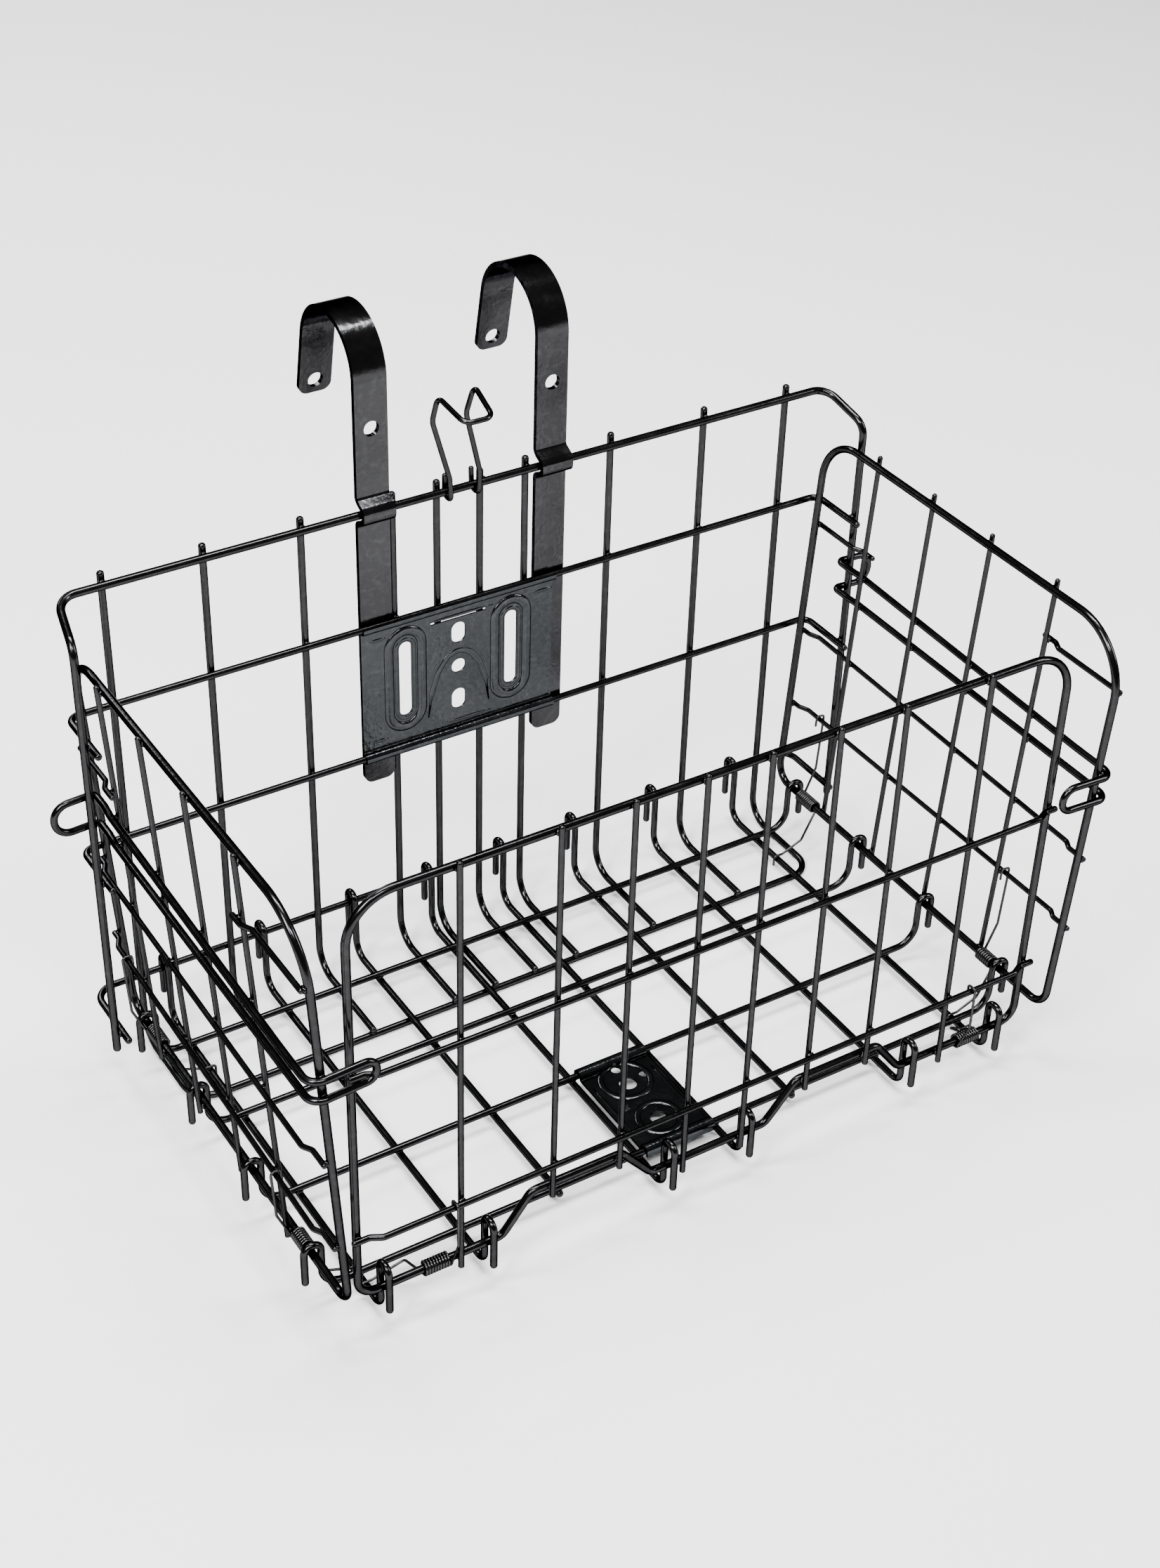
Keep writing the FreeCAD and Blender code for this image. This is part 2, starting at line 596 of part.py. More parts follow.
def hook_over(out, up, grip, rise):
    """The end of a spring leg: up the outside of a rail at (out, up), over it and down."""
    return [(out + grip, rise), (out + grip, up + grip), (out - grip, up + grip),
            (out - grip, up - 3.0)]


def make_front_spring(word, side, x):
    """A spring round the front panel's lower wire, from its low rail to an outer floor wire."""
    wire, turns = size("spring_wire") / 2, 11
    end = side * coil_pitch * (turns - 1) / 2
    y, z = -size("front_pivot_depth"), size("front_pivot_height")
    rail = frame_r + 2 * front_r + front_rail_r
    over = hook_over(rail, size("low_rail_height") - z, front_rail_r + wire + 0.25, 14.0)
    panel_leg = [(coil_r, 0.0)] + over
    floor_z, hold = size("floor_height"), heavy_r + wire + 0.25
    long_x, leg_y = side * FLOOR_LONG[0], y + 16.0
    near, beyond = long_x - side * hold, long_x + side * hold
    floor_leg = [(x - end, y + coil_r, z), (x - end, leg_y, floor_z + 6.0),
                 (near, leg_y, floor_z + hold), (beyond, leg_y, floor_z + hold),
                 (beyond, leg_y, floor_z - 2.5)]
    make_spring(f"front_spring_{word}", (x, y, z), (1, 0, 0), turns,
                [(x + end, y - out, z + up) for out, up in panel_leg], floor_leg)


def make_side_spring(word, side, end_name, y, turns):
    """A spring round a side panel's pivot wire, from its lower rail to an outer floor wire."""
    wire = size("spring_wire") / 2
    end = coil_pitch * (turns - 1) / 2
    x, z = size("side_pivot_half"), size("side_pivot_height")
    rear, front = size("lower_rear"), size(word + "_lower_front")
    rear_y, front_y = size("side_rear") - 9.0, 13.0 - size("side_front")
    rail_s = front + (rear - front) * (y - front_y) / (rear_y - front_y)
    over = hook_over(frame_r + 3 * light_r, rail_s, light_r + wire + 0.35, 14.0)
    place = side_placement(side)
    panel_leg = [place.multVec(Vector(side * out, y + end, up))
                 for out, up in [(coil_r, 0.0)] + over]
    floor_z, hold, long_x = size("floor_height"), heavy_r + wire + 0.25, FLOOR_LONG[0]
    floor_leg = [(side * across, y - end, up) for across, up in (
        (x - coil_r, z), (x - 7.0, floor_z + 7.0), (long_x + hold, floor_z + hold),
        (long_x - hold, floor_z + hold), (long_x - hold, floor_z - 2.5))]
    make_spring(f"{word}_spring_{end_name}", (side * x, y, z), (0, 1, 0), turns,
                panel_leg, floor_leg)


make_back_panel()
for word, side in (("left", -1), ("right", 1)):
    make_strap(f"hook_strap_{word}", size("strap_shift") + side * size("strap_spacing") / 2)
make_mounting_plate()
make_cable_hook()
make_floor()
make_front_panel()
for word, side in (("left", -1), ("right", 1)):
    make_side_panel(word, side)
    make_side_spring(word, side, "rear", 51.5, 12)
    make_side_spring(word, side, "front", -88.0, 9)
make_front_spring("left", -1, -131.0)
make_front_spring("right", 1, 138.5)

doc.recompute()
for thing in doc.Objects:
    if "Invalid" in thing.State or "Error" in thing.State:
        raise RuntimeError(f"{thing.Label} did not compute: {thing.State}")
os.makedirs("parts", exist_ok=True)
for part in parts:
    shape = part.Shape
    if shape.isNull() or not shape.isValid():
        raise RuntimeError(f"{part.Label} has no valid shape")
    shape.exportStep(os.path.join("parts", part.Label + ".step"))
print(len(parts), "sub-parts")
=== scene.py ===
import itertools
import json
import math

import bmesh
import bpy
import numpy as np
from mathutils import Matrix, Vector
from mathutils.bvhtree import BVHTree


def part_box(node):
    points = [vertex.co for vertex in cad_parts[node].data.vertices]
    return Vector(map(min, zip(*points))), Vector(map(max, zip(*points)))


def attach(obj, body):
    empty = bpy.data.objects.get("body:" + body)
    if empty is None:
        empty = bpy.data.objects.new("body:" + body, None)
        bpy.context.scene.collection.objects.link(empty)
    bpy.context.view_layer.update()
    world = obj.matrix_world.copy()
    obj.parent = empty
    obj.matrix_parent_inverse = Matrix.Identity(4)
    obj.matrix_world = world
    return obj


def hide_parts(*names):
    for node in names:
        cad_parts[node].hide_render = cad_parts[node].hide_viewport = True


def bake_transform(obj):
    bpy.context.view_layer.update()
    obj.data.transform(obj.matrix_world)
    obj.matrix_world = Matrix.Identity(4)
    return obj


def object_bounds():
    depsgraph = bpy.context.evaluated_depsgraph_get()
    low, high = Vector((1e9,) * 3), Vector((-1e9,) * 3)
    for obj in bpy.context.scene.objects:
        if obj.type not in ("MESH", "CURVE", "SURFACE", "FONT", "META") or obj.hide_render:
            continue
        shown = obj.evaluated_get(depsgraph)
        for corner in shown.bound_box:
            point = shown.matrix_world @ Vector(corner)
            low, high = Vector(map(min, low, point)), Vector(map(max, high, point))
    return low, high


# Folding wire handlebar basket in glossy black enamel, on a plain pale floor. Metres, in the frame's axes.

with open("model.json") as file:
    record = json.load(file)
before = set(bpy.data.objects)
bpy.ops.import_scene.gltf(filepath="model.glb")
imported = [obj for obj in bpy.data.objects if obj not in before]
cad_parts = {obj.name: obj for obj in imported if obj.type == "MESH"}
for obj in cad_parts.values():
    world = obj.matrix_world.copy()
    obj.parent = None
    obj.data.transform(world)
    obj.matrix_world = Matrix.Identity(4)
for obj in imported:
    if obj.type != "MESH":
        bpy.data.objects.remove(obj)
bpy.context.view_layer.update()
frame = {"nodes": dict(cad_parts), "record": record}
NODES = frame["nodes"]
BODY_OF = {node: body for body, nodes in frame["record"]["behaviour"]["bodies"].items()
           for node in nodes}
SHEET_NODES = ("hook_strap_left", "hook_strap_right", "mounting_plate", "floor_bracket")
SPRINGS = [node for node in NODES if "spring" in node]
WIRES = [node for node in NODES if node not in SHEET_NODES and node not in SPRINGS]
MM = 0.001


# ---------------------------------------------------------------- mesh helpers

DOME_ANGLES = (1.25, 0.85, 0.4)     # of the rings that round off a wire's end, in radians
LONGEST_BEND = 0.48                 # share of a straight run that one round corner may take
WIRE_SIDES = 10


def link_new(name, data):
    """Makes an object from its data and puts it into the scene."""
    thing = bpy.data.objects.new(name, data)
    bpy.context.scene.collection.objects.link(thing)
    return thing


def add_object(name, mesh, body, material):
    """Puts a finished mesh into the scene, riding on a body."""
    piece = link_new(name, mesh)
    mesh.materials.append(material)
    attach(piece, body)


def mesh_from(bm, name):
    """A mesh from a bmesh, shaded smooth."""
    mesh = bpy.data.meshes.new(name)
    bm.to_mesh(mesh)
    bm.free()
    mesh.polygons.foreach_set("use_smooth", [True] * len(mesh.polygons))
    return mesh


def tube(bm, points, radius):
    """A round wire through many closely spaced points, with domed ends."""
    points = [Vector(p) for p in points]
    side = (points[1] - points[0]).orthogonal().normalized()
    stations = []
    for i, point in enumerate(points):
        before, after = points[max(i - 1, 0)], points[min(i + 1, len(points) - 1)]
        along = (after - before).normalized()
        side = (side - along * side.dot(along)).normalized()
        stations.append((point, side.copy(), along.cross(side), along))
    loops = []

    def ring(station, shift, size):
        centre, across, other, along = station
        loops.append([bm.verts.new(centre + along * shift
                                   + (across * math.cos(t) + other * math.sin(t)) * size)
                      for t in (2 * math.pi * k / WIRE_SIDES for k in range(WIRE_SIDES))])

    for angle in DOME_ANGLES:
        ring(stations[0], -radius * math.sin(angle), radius * math.cos(angle))
    for station in stations:
        ring(station, 0, radius)
    for angle in DOME_ANGLES[::-1]:
        ring(stations[-1], radius * math.sin(angle), radius * math.cos(angle))
    for low, high in zip(loops, loops[1:]):
        for k in range(WIRE_SIDES):
            following = (k + 1) % WIRE_SIDES
            bm.faces.new((low[k], low[following], high[following], high[k]))
    bm.faces.new(loops[0][::-1])
    bm.faces.new(loops[-1])


def smooth_line(corners, radius, steps=7):
    """Points along straight runs joined by round corners."""
    corners = [Vector(c) for c in corners]
    line = [corners[0]]
    for before, corner, after in zip(corners, corners[1:], corners[2:]):
        back, on = (before - corner).normalized(), (after - corner).normalized()
        turn = math.pi - back.angle(on)
        setback = min(radius * math.tan(turn / 2), (before - corner).length * LONGEST_BEND,
                      (after - corner).length * LONGEST_BEND)
        for k in range(steps + 1):
            t = k / steps
            line.append(corner + back * setback * (1 - t) ** 2 + on * setback * t ** 2)
    line.append(corners[-1])
    return line


# ---------------------------------------------------------------- materials

EDGE_TINT = (0.12, 0.12, 0.12, 1)   # keeps the paint dark where it is seen at a low angle
CLOUD_SCALE, SPOT_SCALE, PEEL_SCALE = 95, 310, 520
SPOT_GAIN = 1.35
PEEL_DEPTH = 0.0004


def enamel(name, tint, roughness, peel, blotch):
    """Glossy black enamel, made as a dark metal, with cloudy gloss, faint spots and orange peel."""
    material = bpy.data.materials.new(name)
    material.use_nodes = True
    tree = material.node_tree
    shader = tree.nodes["Principled BSDF"]
    shader.inputs["Metallic"].default_value = 1.0
    shader.inputs["Specular Tint"].default_value = EDGE_TINT
    place = tree.nodes.new("ShaderNodeTexCoord")

    def noise(scale, detail, rough=0.55):
        node = tree.nodes.new("ShaderNodeTexNoise")
        node.inputs["Scale"].default_value = scale
        node.inputs["Detail"].default_value = detail
        node.inputs["Roughness"].default_value = rough
        tree.links.new(place.outputs["Object"], node.inputs["Vector"])
        return node.outputs["Fac"]

    def ramp(source, low, high, start, end):
        node = tree.nodes.new("ShaderNodeMapRange")
        tree.links.new(source, node.inputs["Value"])
        for socket, value in (("From Min", low), ("From Max", high), ("To Min", start),
                              ("To Max", end)):
            node.inputs[socket].default_value = value
        return node.outputs["Result"]

    gloss = ramp(noise(CLOUD_SCALE, 4), 0.35, 0.7, roughness, roughness + blotch)
    tree.links.new(gloss, shader.inputs["Roughness"])
    mix = tree.nodes.new("ShaderNodeMix")
    mix.data_type = "RGBA"
    mix.inputs["A"].default_value = (*tint, 1)
    mix.inputs["B"].default_value = (*[c * SPOT_GAIN for c in tint], 1)
    tree.links.new(ramp(noise(SPOT_SCALE, 3), 0.5, 0.75, 0.0, 1.0), mix.inputs["Factor"])
    tree.links.new(mix.outputs["Result"], shader.inputs["Base Color"])
    bump = tree.nodes.new("ShaderNodeBump")
    bump.inputs["Strength"].default_value = peel
    bump.inputs["Distance"].default_value = PEEL_DEPTH
    tree.links.new(noise(PEEL_SCALE, 2, 0.4), bump.inputs["Height"])
    tree.links.new(bump.outputs["Normal"], shader.inputs["Normal"])
    return material


wire_paint = enamel("wire_enamel_black", (0.025, 0.025, 0.026), 0.13, 0.10, 0.10)
strap_paint = enamel("strap_enamel_black", (0.036, 0.036, 0.038), 0.11, 0.14, 0.08)
plate_paint = enamel("plate_enamel_black", (0.040, 0.043, 0.045), 0.12, 0.30, 0.12)
spring_paint = enamel("spring_black_oxide", (0.040, 0.040, 0.040), 0.20, 0.08, 0.10)


def repaint(node, material):
    """Gives a carried-over CAD node its material."""
    mesh = NODES[node].data
    mesh.materials.clear()
    mesh.materials.append(material)


for name in WIRES:
    repaint(name, wire_paint)
for name in ("hook_strap_left", "hook_strap_right"):
    repaint(name, strap_paint)
repaint("floor_bracket", plate_paint)
repaint("mounting_plate", plate_paint)


# ---------------------------------------------------------------- weld nuggets

EDGE_STEP = 0.0012                  # between the points that are tried for a contact
TOUCH_GAP = 0.25 * MM
ONE_CROSSING = 6 * MM               # contacts nearer than this belong to one weld
LEAST_AGREEMENT = 0.3               # length of the summed directions below which they cancel out
BEAD_WIDTH, BEAD_HEIGHT = 1.55 * MM, 0.95 * MM
WIDTH_SPREAD, HEIGHT_SPREAD, LUMPINESS = 0.12, 0.10, 0.10


def surface_points(node):
    """Points spread along a node's mesh edges, no further apart than a step."""
    mesh = NODES[node].data
    verts = np.empty(len(mesh.vertices) * 3)
    mesh.vertices.foreach_get("co", verts)
    verts = verts.reshape(-1, 3)
    ends = np.empty(len(mesh.edges) * 2, dtype=int)
    mesh.edges.foreach_get("vertices", ends)
    ends = ends.reshape(-1, 2)
    a, b = verts[ends[:, 0]], verts[ends[:, 1]]
    length = np.linalg.norm(b - a, axis=1)
    spread = [verts]
    for count in range(2, int(length.max() / EDGE_STEP) + 2):
        chosen = (length / EDGE_STEP >= count - 1) & (length / EDGE_STEP < count)
        if chosen.any():
            t = np.linspace(0, 1, count + 1)[1:-1, None, None]
            spread.append((a[chosen] * (1 - t) + b[chosen] * t).reshape(-1, 3))
    return np.vstack(spread)


def welds():
    """Finds where wires of one body touch, and returns {body: [(place, direction across)]}."""
    points = {node: surface_points(node) for node in WIRES}
    trees = {node: BVHTree.FromObject(NODES[node], bpy.context.evaluated_depsgraph_get())
             for node in WIRES}
    found = {}
    for one, two in itertools.combinations(WIRES, 2):
        if BODY_OF[one] != BODY_OF[two]:
            continue
        low, high = (np.array(corner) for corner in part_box(two))
        cloud = points[one]
        near = cloud[((cloud > low - MM) & (cloud < high + MM)).all(axis=1)]
        spots = []
        for point in near:
            hit, normal, _, _ = trees[two].find_nearest(Vector(point), TOUCH_GAP)
            if hit is None:
                continue
            middle = (hit + Vector(point)) / 2
            for spot in spots:
                if (spot[0] / spot[2] - middle).length < ONE_CROSSING:
                    spot[0] += middle
                    spot[1] += normal
                    spot[2] += 1
                    break
            else:
                spots.append([middle, normal.copy(), 1])
        for total, across, count in spots:
            if across.length > LEAST_AGREEMENT:
                found.setdefault(BODY_OF[one], []).append((total / count, across.normalized()))
    return found


def make_welds():
    """Small flattened beads of metal at each welded crossing, one mesh per body."""
    rng = np.random.default_rng(7)
    for body, spots in welds().items():
        bm = bmesh.new()
        for place, across in spots:
            turn = across.to_track_quat("Z", "Y").to_matrix().to_4x4()
            wide = BEAD_WIDTH * (1 + WIDTH_SPREAD * rng.standard_normal())
            tall = BEAD_HEIGHT * (1 + HEIGHT_SPREAD * rng.standard_normal())
            shape = Matrix.Translation(place) @ turn @ Matrix.Diagonal((wide, wide, tall, 1))
            bead = bmesh.ops.create_icosphere(bm, subdivisions=3, radius=1.0, matrix=shape)
            for vert in bead["verts"]:
                vert.co += (vert.co - place) * LUMPINESS * rng.standard_normal()
        bmesh.ops.recalc_face_normals(bm, faces=bm.faces)
        name = body + "_weld_beads"
        add_object(name, mesh_from(bm, name), body, wire_paint)


# ---------------------------------------------------------------- pressed relief

RIB_SIDES = 12
# The mounting plate's middle, its front face, and the height and spacing of its slots.
PLATE_X, PLATE_FACE = -5.6, 83.9
SLOT_Z, SLOT_SPACING = 151.1, 53.5
# Each collar as (width, length, half width of its rib, height of its rib).
COLLARS = [(16.4, 50.0, 2.4, 0.9), (8.8, 41.1, 0.9, 0.35)]
# Half of the arch as (across, height), and each pressed line as (from, to, height).
ARCH_SIDE = [(-15.5, 126.5), (-14.0, 138.0), (-10.5, 149.0), (-5.5, 156.0)]
ARCH_TOP = (0.0, 158.0)
PRESSED_LINES = [(-50.5, -41.5, 122.5), (33.0, 42.5, 176.0), (-50.0, -42.0, 175.5),
                 (-14.0, 11.0, 120.8), (-21.0, 12.0, 176.3)]
# The floor bracket's middle, its upper face, and each ring as (distance behind the middle, radius).
BRACKET_Y, BRACKET_FACE = -69.6, 7.8
BRACKET_RINGS = [(14.5, 11.2), (-12.5, 9.5)]
BRACKET_LINE_X, BRACKET_LINE_REACH = 15.2, 17


def ridge(bm, points, half_width, height, up):
    """A low rounded rib along points on a sheet's face; an open one thins out towards its ends."""
    up = Vector(up)
    points = [Vector(p) for p in points]
    closed = (points[0] - points[-1]).length < 0.01 * MM
    if closed:
        points = points[:-1]
    count = len(points)
    rings = []
    for i, point in enumerate(points):
        before = points[i - 1] if closed or i else point
        after = points[(i + 1) % count] if closed or i < count - 1 else point
        across = (after - before).normalized().cross(up)
        taper = 1.0 if closed else min(1.0, 0.25 + min(i, count - 1 - i) / 3)
        rings.append([bm.verts.new(point + across * math.cos(t) * half_width * taper
                                   + up * math.sin(t) * height * taper)
                      for t in (2 * math.pi * k / RIB_SIDES for k in range(RIB_SIDES))])
    pairs = list(zip(rings, rings[1:])) + ([(rings[-1], rings[0])] if closed else [])
    for low, high in pairs:
        for k in range(RIB_SIDES):
            following = (k + 1) % RIB_SIDES
            bm.faces.new((low[k], low[following], high[following], high[k]))
    if not closed:
        bm.faces.new(rings[0][::-1])
        bm.faces.new(rings[-1])


def stadium(x, z, width, length, y, steps=16):
    """A closed slot-shaped loop of points that stands along Z."""
    r, reach = width / 2, (length - width) / 2
    loop = [(x + r * math.cos(math.pi * k / steps), z + reach + r * math.sin(math.pi * k / steps))
            for k in range(steps + 1)]
    loop += [(x - r * math.cos(math.pi * k / steps), z - reach - r * math.sin(math.pi * k / steps))
             for k in range(steps + 1)]
    loop.append(loop[0])
    return [Vector((a, y, b)) * MM for a, b in loop]


def dash(start, end, steps=8):
    """Evenly spaced points from start to end."""
    start, end = Vector(start), Vector(end)
    return [start.lerp(end, k / steps) * MM for k in range(steps + 1)]


def plate_relief():
    """Collars round both slots, the arch over the middle holes, and the short pressed lines."""
    bm = bmesh.new()
    front = (0, -1, 0)
    for side in (-1, 1):
        middle = PLATE_X + side * SLOT_SPACING / 2
        for width, length, half_width, height in COLLARS:
            loop = stadium(middle, SLOT_Z, width, length, PLATE_FACE)
            ridge(bm, loop, half_width * MM, height * MM, front)
    arch = ARCH_SIDE + [ARCH_TOP] + [(-across, z) for across, z in ARCH_SIDE[::-1]]
    corners = [Vector((PLATE_X + across, PLATE_FACE, z)) * MM for across, z in arch]
    ridge(bm, smooth_line(corners, 9 * MM, 4), 1.4 * MM, 0.4 * MM, front)
    for start, end, z in PRESSED_LINES:
        ridge(bm, dash((start, PLATE_FACE, z), (end, PLATE_FACE, z)), 0.8 * MM, 0.4 * MM, front)
    bmesh.ops.recalc_face_normals(bm, faces=bm.faces)
    add_object("plate_relief", mesh_from(bm, "plate_relief"), "back_panel",
               plate_paint)


def bracket_relief():
    """Rings pressed round the bracket's holes, and a line along each of its sides."""
    bm = bmesh.new()
    steps, top = 40, (0, 0, 1)
    for behind, radius in BRACKET_RINGS:
        y = BRACKET_Y + behind
        loop = [Vector((radius * math.cos(t), y + radius * math.sin(t), BRACKET_FACE)) * MM
                for t in (2 * math.pi * k / steps for k in range(steps + 1))]
        ridge(bm, loop, 1.5 * MM, 0.6 * MM, top)
    for x in (-BRACKET_LINE_X, BRACKET_LINE_X):
        line = dash((x, BRACKET_Y - BRACKET_LINE_REACH, BRACKET_FACE),
                    (x, BRACKET_Y + BRACKET_LINE_REACH, BRACKET_FACE))
        ridge(bm, line, 0.9 * MM, 0.4 * MM, top)
    bmesh.ops.recalc_face_normals(bm, faces=bm.faces)
    add_object("bracket_relief", mesh_from(bm, "bracket_relief"), "floor_panel",
               plate_paint)


def soften_edges():
    """Rounds the cut edges of the flat strips."""
    for node in SHEET_NODES:
        bevel = NODES[node].modifiers.new("soft_edges", "BEVEL")
        bevel.width = (0.4 if node.startswith("hook") else 0.2) * MM
        bevel.segments = 2
        bevel.limit_method = "ANGLE"
        bevel.angle_limit = math.radians(50)
        bevel.use_clamp_overlap = True


# ---------------------------------------------------------------- torsion springs

# All in millimetres. HOLD and SIDE_GRIP are how far a leg's hook runs from the middle of the wire it
# holds; a leg's top, tip and lift are measured up from its pivot.
COIL_RADIUS, COIL_PITCH, SPRING_WIRE = 2.75, 1.225, 0.6
TURN_STEPS = 20
LEG_BEND = 1.6
LONG_WIRE_X, FLOOR_Z, HOLD = 154.1, 5.1, 2.45
TAIL_DROP = 2.5
LEG_LIFT = 14.0
FRONT_PIVOT_Y, FRONT_PIVOT_Z = -118.7, 20.5
FRONT_LEG_TOP, FRONT_LEG_TIP = 35.75, 30.5
FRONT_LEG_OUT, FRONT_LEG_IN = 8.05, 3.55
FRONT_REACH, FRONT_LEG_RUN = 5.8, 16
SIDE_PIVOT_X, SIDE_PIVOT_Z = 174.6, 29.3
SIDE_LEAN = math.radians(3.5)
SIDE_RAIL_OUT, SIDE_GRIP, SIDE_LEG_TIP = 5.4, 2.15, 3.0
SIDE_ELBOW_IN, SIDE_ELBOW_UP, FRONT_ELBOW_UP = 7.0, 7.0, 6
LOW_RAIL_START_Y, LOW_RAIL_RUN = -115.0, 183.9
LOW_RAIL_REAR = 43.0
LOW_RAIL_FRONT = {"left": 34.3, "right": 43.7}


def helix(place, start, end, slot_length):
    """Points of a close coil that starts on the outer side and leaves along the bottom."""
    turns = math.floor(slot_length / COIL_PITCH - 0.25) + 0.25
    steps = int(turns * TURN_STEPS)
    return [place(start + (end - start) * k / steps,
                  COIL_RADIUS * math.cos(-2 * math.pi * turns * k / steps),
                  COIL_RADIUS * math.sin(-2 * math.pi * turns * k / steps))
            for k in range(steps + 1)]


def wound_spring(node, panel_leg, coil, floor_leg):
    """Joins the two legs and the coil into one wire, and hides the CAD spring it stands in for."""
    line = smooth_line(panel_leg[::-1] + [coil[0]], LEG_BEND) + coil[1:-1]
    line += smooth_line([coil[-1]] + floor_leg, LEG_BEND)
    bm = bmesh.new()
    tube(bm, [Vector(p) * MM for p in line], SPRING_WIRE * MM)
    bmesh.ops.recalc_face_normals(bm, faces=bm.faces)
    mesh = mesh_from(bm, node + "_wound")
    mesh.materials.append(spring_paint)
    piece = link_new(node + "_wound", mesh)
    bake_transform(piece)
    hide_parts(node)


def front_spring(word, side, x):
    """A spring round the front panel's lower wire, from its low rail to an outer floor wire."""
    panel_x, floor_x = x - side * FRONT_REACH, x + side * FRONT_REACH

    def place(station, out, up):
        return Vector((station, FRONT_PIVOT_Y - out, FRONT_PIVOT_Z + up))

    panel_leg = [place(panel_x, out, up) for out, up in (
        (FRONT_LEG_OUT, LEG_LIFT), (FRONT_LEG_OUT, FRONT_LEG_TOP),
        (FRONT_LEG_IN, FRONT_LEG_TOP), (FRONT_LEG_IN, FRONT_LEG_TIP))]
    near, beyond = side * (LONG_WIRE_X - HOLD), side * (LONG_WIRE_X + HOLD)
    floor_leg = [Vector((across, FRONT_PIVOT_Y + FRONT_LEG_RUN, up)) for across, up in (
        (floor_x, FLOOR_Z + FRONT_ELBOW_UP), (near, FLOOR_Z + HOLD),
        (beyond, FLOOR_Z + HOLD), (beyond, FLOOR_Z - TAIL_DROP))]
    coil = helix(place, panel_x, floor_x, 2 * FRONT_REACH)
    wound_spring(f"front_spring_{word}", panel_leg, coil, floor_leg)


def side_spring(word, side, end_name, y, half_length):
    """A spring round a side panel's pivot wire, from its lower rail to an outer floor wire."""
    x, z = SIDE_PIVOT_X, SIDE_PIVOT_Z
    rise = LOW_RAIL_REAR - LOW_RAIL_FRONT[word]
    rail_up = LOW_RAIL_FRONT[word] + rise * (y - LOW_RAIL_START_Y) / LOW_RAIL_RUN
    panel_y, floor_y = y + half_length, y - half_length

    def place(station, out, up):
        return Vector((side * (x + out), station, z + up))

    def leaning(out, up):
        across = x + out * math.cos(SIDE_LEAN) + up * math.sin(SIDE_LEAN)
        return Vector((side * across, panel_y, z + up * math.cos(SIDE_LEAN) - out * math.sin(SIDE_LEAN)))

    outer, inner = SIDE_RAIL_OUT + SIDE_GRIP, SIDE_RAIL_OUT - SIDE_GRIP
    panel_leg = [leaning(outer, LEG_LIFT), leaning(outer, rail_up + SIDE_GRIP),
                 leaning(inner, rail_up + SIDE_GRIP), leaning(inner, rail_up - SIDE_LEG_TIP)]
    floor_leg = [Vector((side * across, floor_y, up)) for across, up in (
        (x - SIDE_ELBOW_IN, FLOOR_Z + SIDE_ELBOW_UP), (LONG_WIRE_X + HOLD, FLOOR_Z + HOLD),
        (LONG_WIRE_X - HOLD, FLOOR_Z + HOLD), (LONG_WIRE_X - HOLD, FLOOR_Z - TAIL_DROP))]
    wound_spring(f"{word}_spring_{end_name}", panel_leg,
                 helix(place, panel_y, floor_y, 2 * half_length), floor_leg)


def make_springs():
    """The six torsion springs that swing the panels upright."""
    front_spring("left", -1, -131.0)
    front_spring("right", 1, 138.5)
    for word, side in (("left", -1), ("right", 1)):
        side_spring(word, side, "rear", 51.5, 6.4)
        side_spring(word, side, "front", -88.0, 4.66)


# ---------------------------------------------------------------- stage, camera and lights

FLOOR_REACH, FLOOR_CLEARANCE = 6.0, 0.0003
FLOOR_PAINT = (0.86, 0.86, 0.86, 1)
TARGET, DISTANCE = Vector((-0.00757, -0.0221, 0.15158)), 1.04205
LIGHT_AIM = Vector((0, 0, 0.12))
ROOM_STRENGTH = 0.16


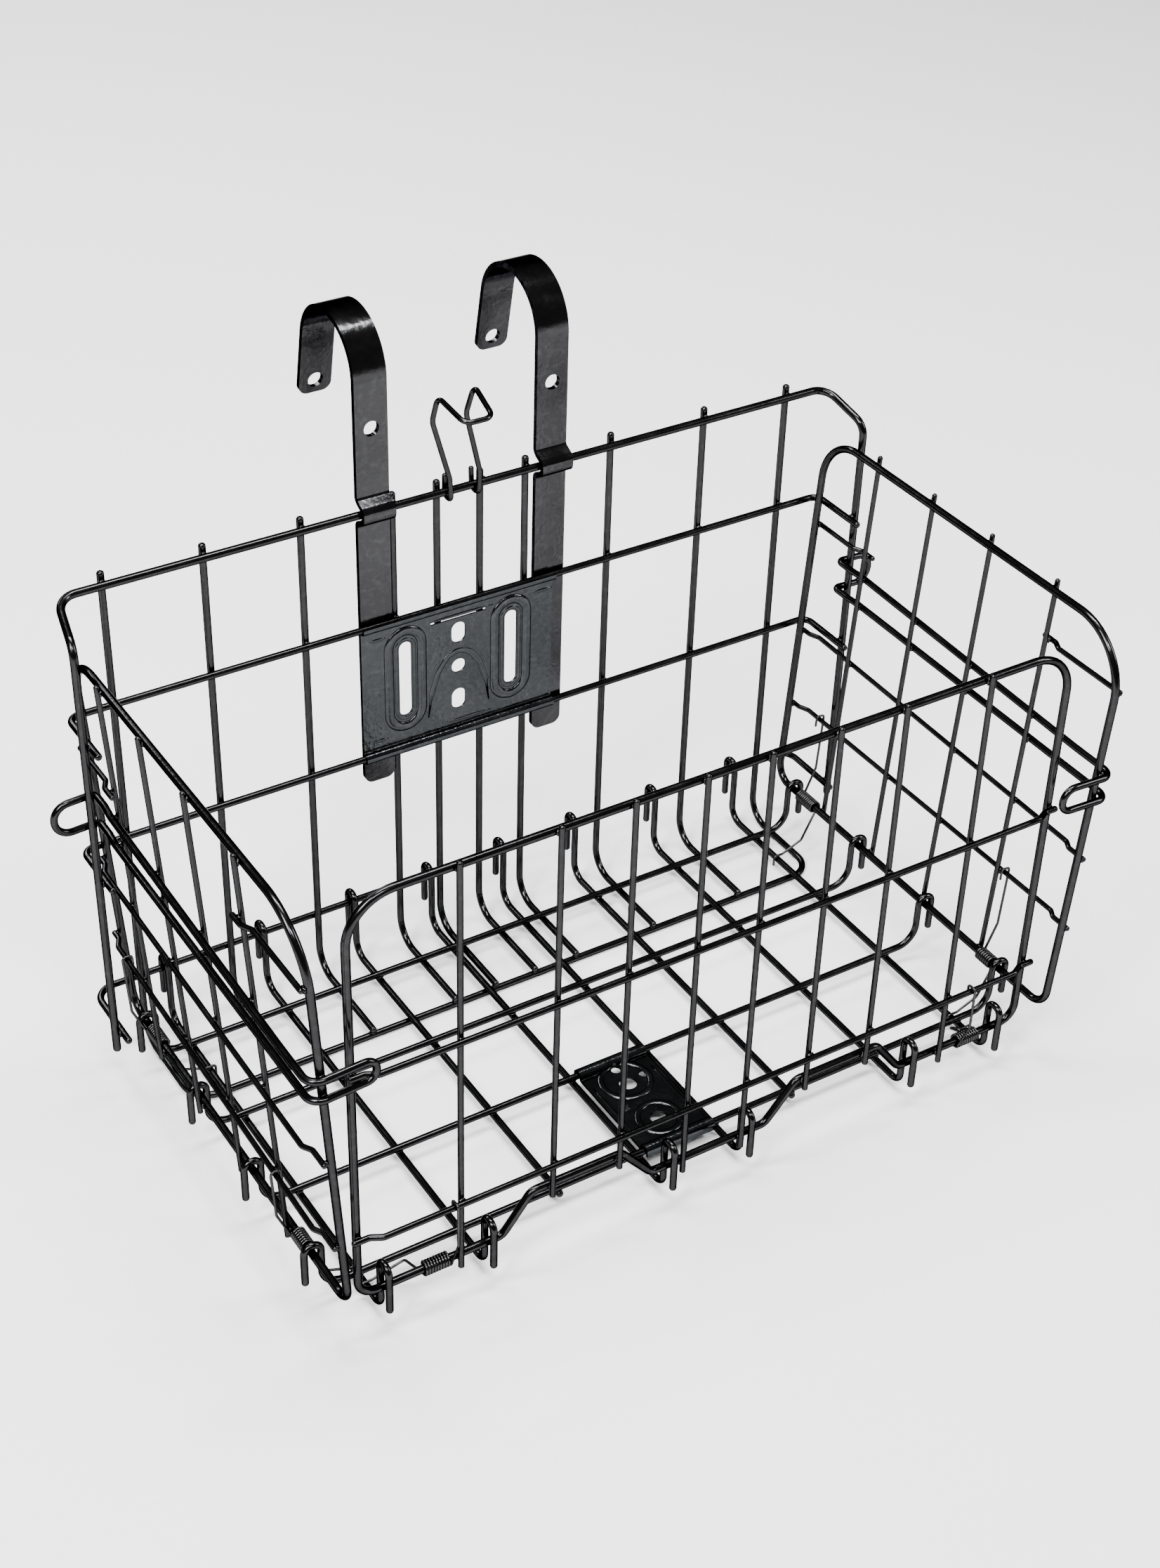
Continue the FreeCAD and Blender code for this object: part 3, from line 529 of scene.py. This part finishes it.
def make_stage():
    """A plain pale floor, just under the lowest wire."""
    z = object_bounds()[0][2] - FLOOR_CLEARANCE
    bm = bmesh.new()
    corners = [bm.verts.new((x * FLOOR_REACH, y * FLOOR_REACH, z))
               for x, y in ((-1, -1), (1, -1), (1, 1), (-1, 1))]
    bm.faces.new(corners)
    mesh = mesh_from(bm, "floor_sheet")
    material = bpy.data.materials.new("pale_floor")
    material.use_nodes = True
    shader = material.node_tree.nodes["Principled BSDF"]
    shader.inputs["Base Color"].default_value = FLOOR_PAINT
    shader.inputs["Roughness"].default_value = 0.75
    mesh.materials.append(material)
    link_new("floor_sheet", mesh)


def make_camera():
    """The main view: from the front left, high up and slightly rolled."""
    azimuth, elevation, roll = (math.radians(a) for a in (-32.78, 35.86, 1.78))
    away = Vector((math.sin(azimuth) * math.cos(elevation), -math.cos(azimuth) * math.cos(elevation),
                   math.sin(elevation)))
    data = bpy.data.cameras.new("view_camera")
    data.sensor_fit = "HORIZONTAL"
    data.sensor_width = 36
    data.lens = 77.67
    data.clip_start, data.clip_end = 0.05, 50
    camera = link_new("view_camera", data)
    facing = away.to_track_quat("Z", "Y").to_matrix().to_4x4()
    camera.matrix_world = (Matrix.Translation(TARGET + away * DISTANCE) @ facing
                           @ Matrix.Rotation(roll, 4, "Z"))
    bpy.context.scene.camera = camera


def make_lights():
    """Large soft panels above and beside, in a dim even room."""
    for name, place, size, power in (
        ("key_panel", (-1.3, -0.6, 1.6), (0.5, 0.9), 66),
        ("fill_panel", (1.5, -0.9, 1.1), (0.4, 1.0), 26),
        ("top_panel", (0.1, 0.2, 2.1), (1.4, 0.35), 80),
        ("front_strip", (-0.5, -1.3, 2.0), (1.0, 0.15), 40),
        ("rear_panel", (-0.2, 1.7, 1.3), (1.2, 0.3), 34),
    ):
        data = bpy.data.lights.new(name, "AREA")
        data.shape = "RECTANGLE"
        data.size, data.size_y = size
        data.energy = power
        lamp = link_new(name, data)
        lamp.location = place
        aim = LIGHT_AIM - Vector(place)
        lamp.rotation_euler = aim.to_track_quat("-Z", "Y").to_euler()
    world = bpy.data.worlds.new("even_room")
    world.use_nodes = True
    backdrop = world.node_tree.nodes["Background"]
    backdrop.inputs["Color"].default_value = (1, 1, 1, 1)
    backdrop.inputs["Strength"].default_value = ROOM_STRENGTH
    bpy.context.scene.world = world


make_stage()
make_camera()
make_lights()
make_welds()
plate_relief()
bracket_relief()
soften_edges()
make_springs()
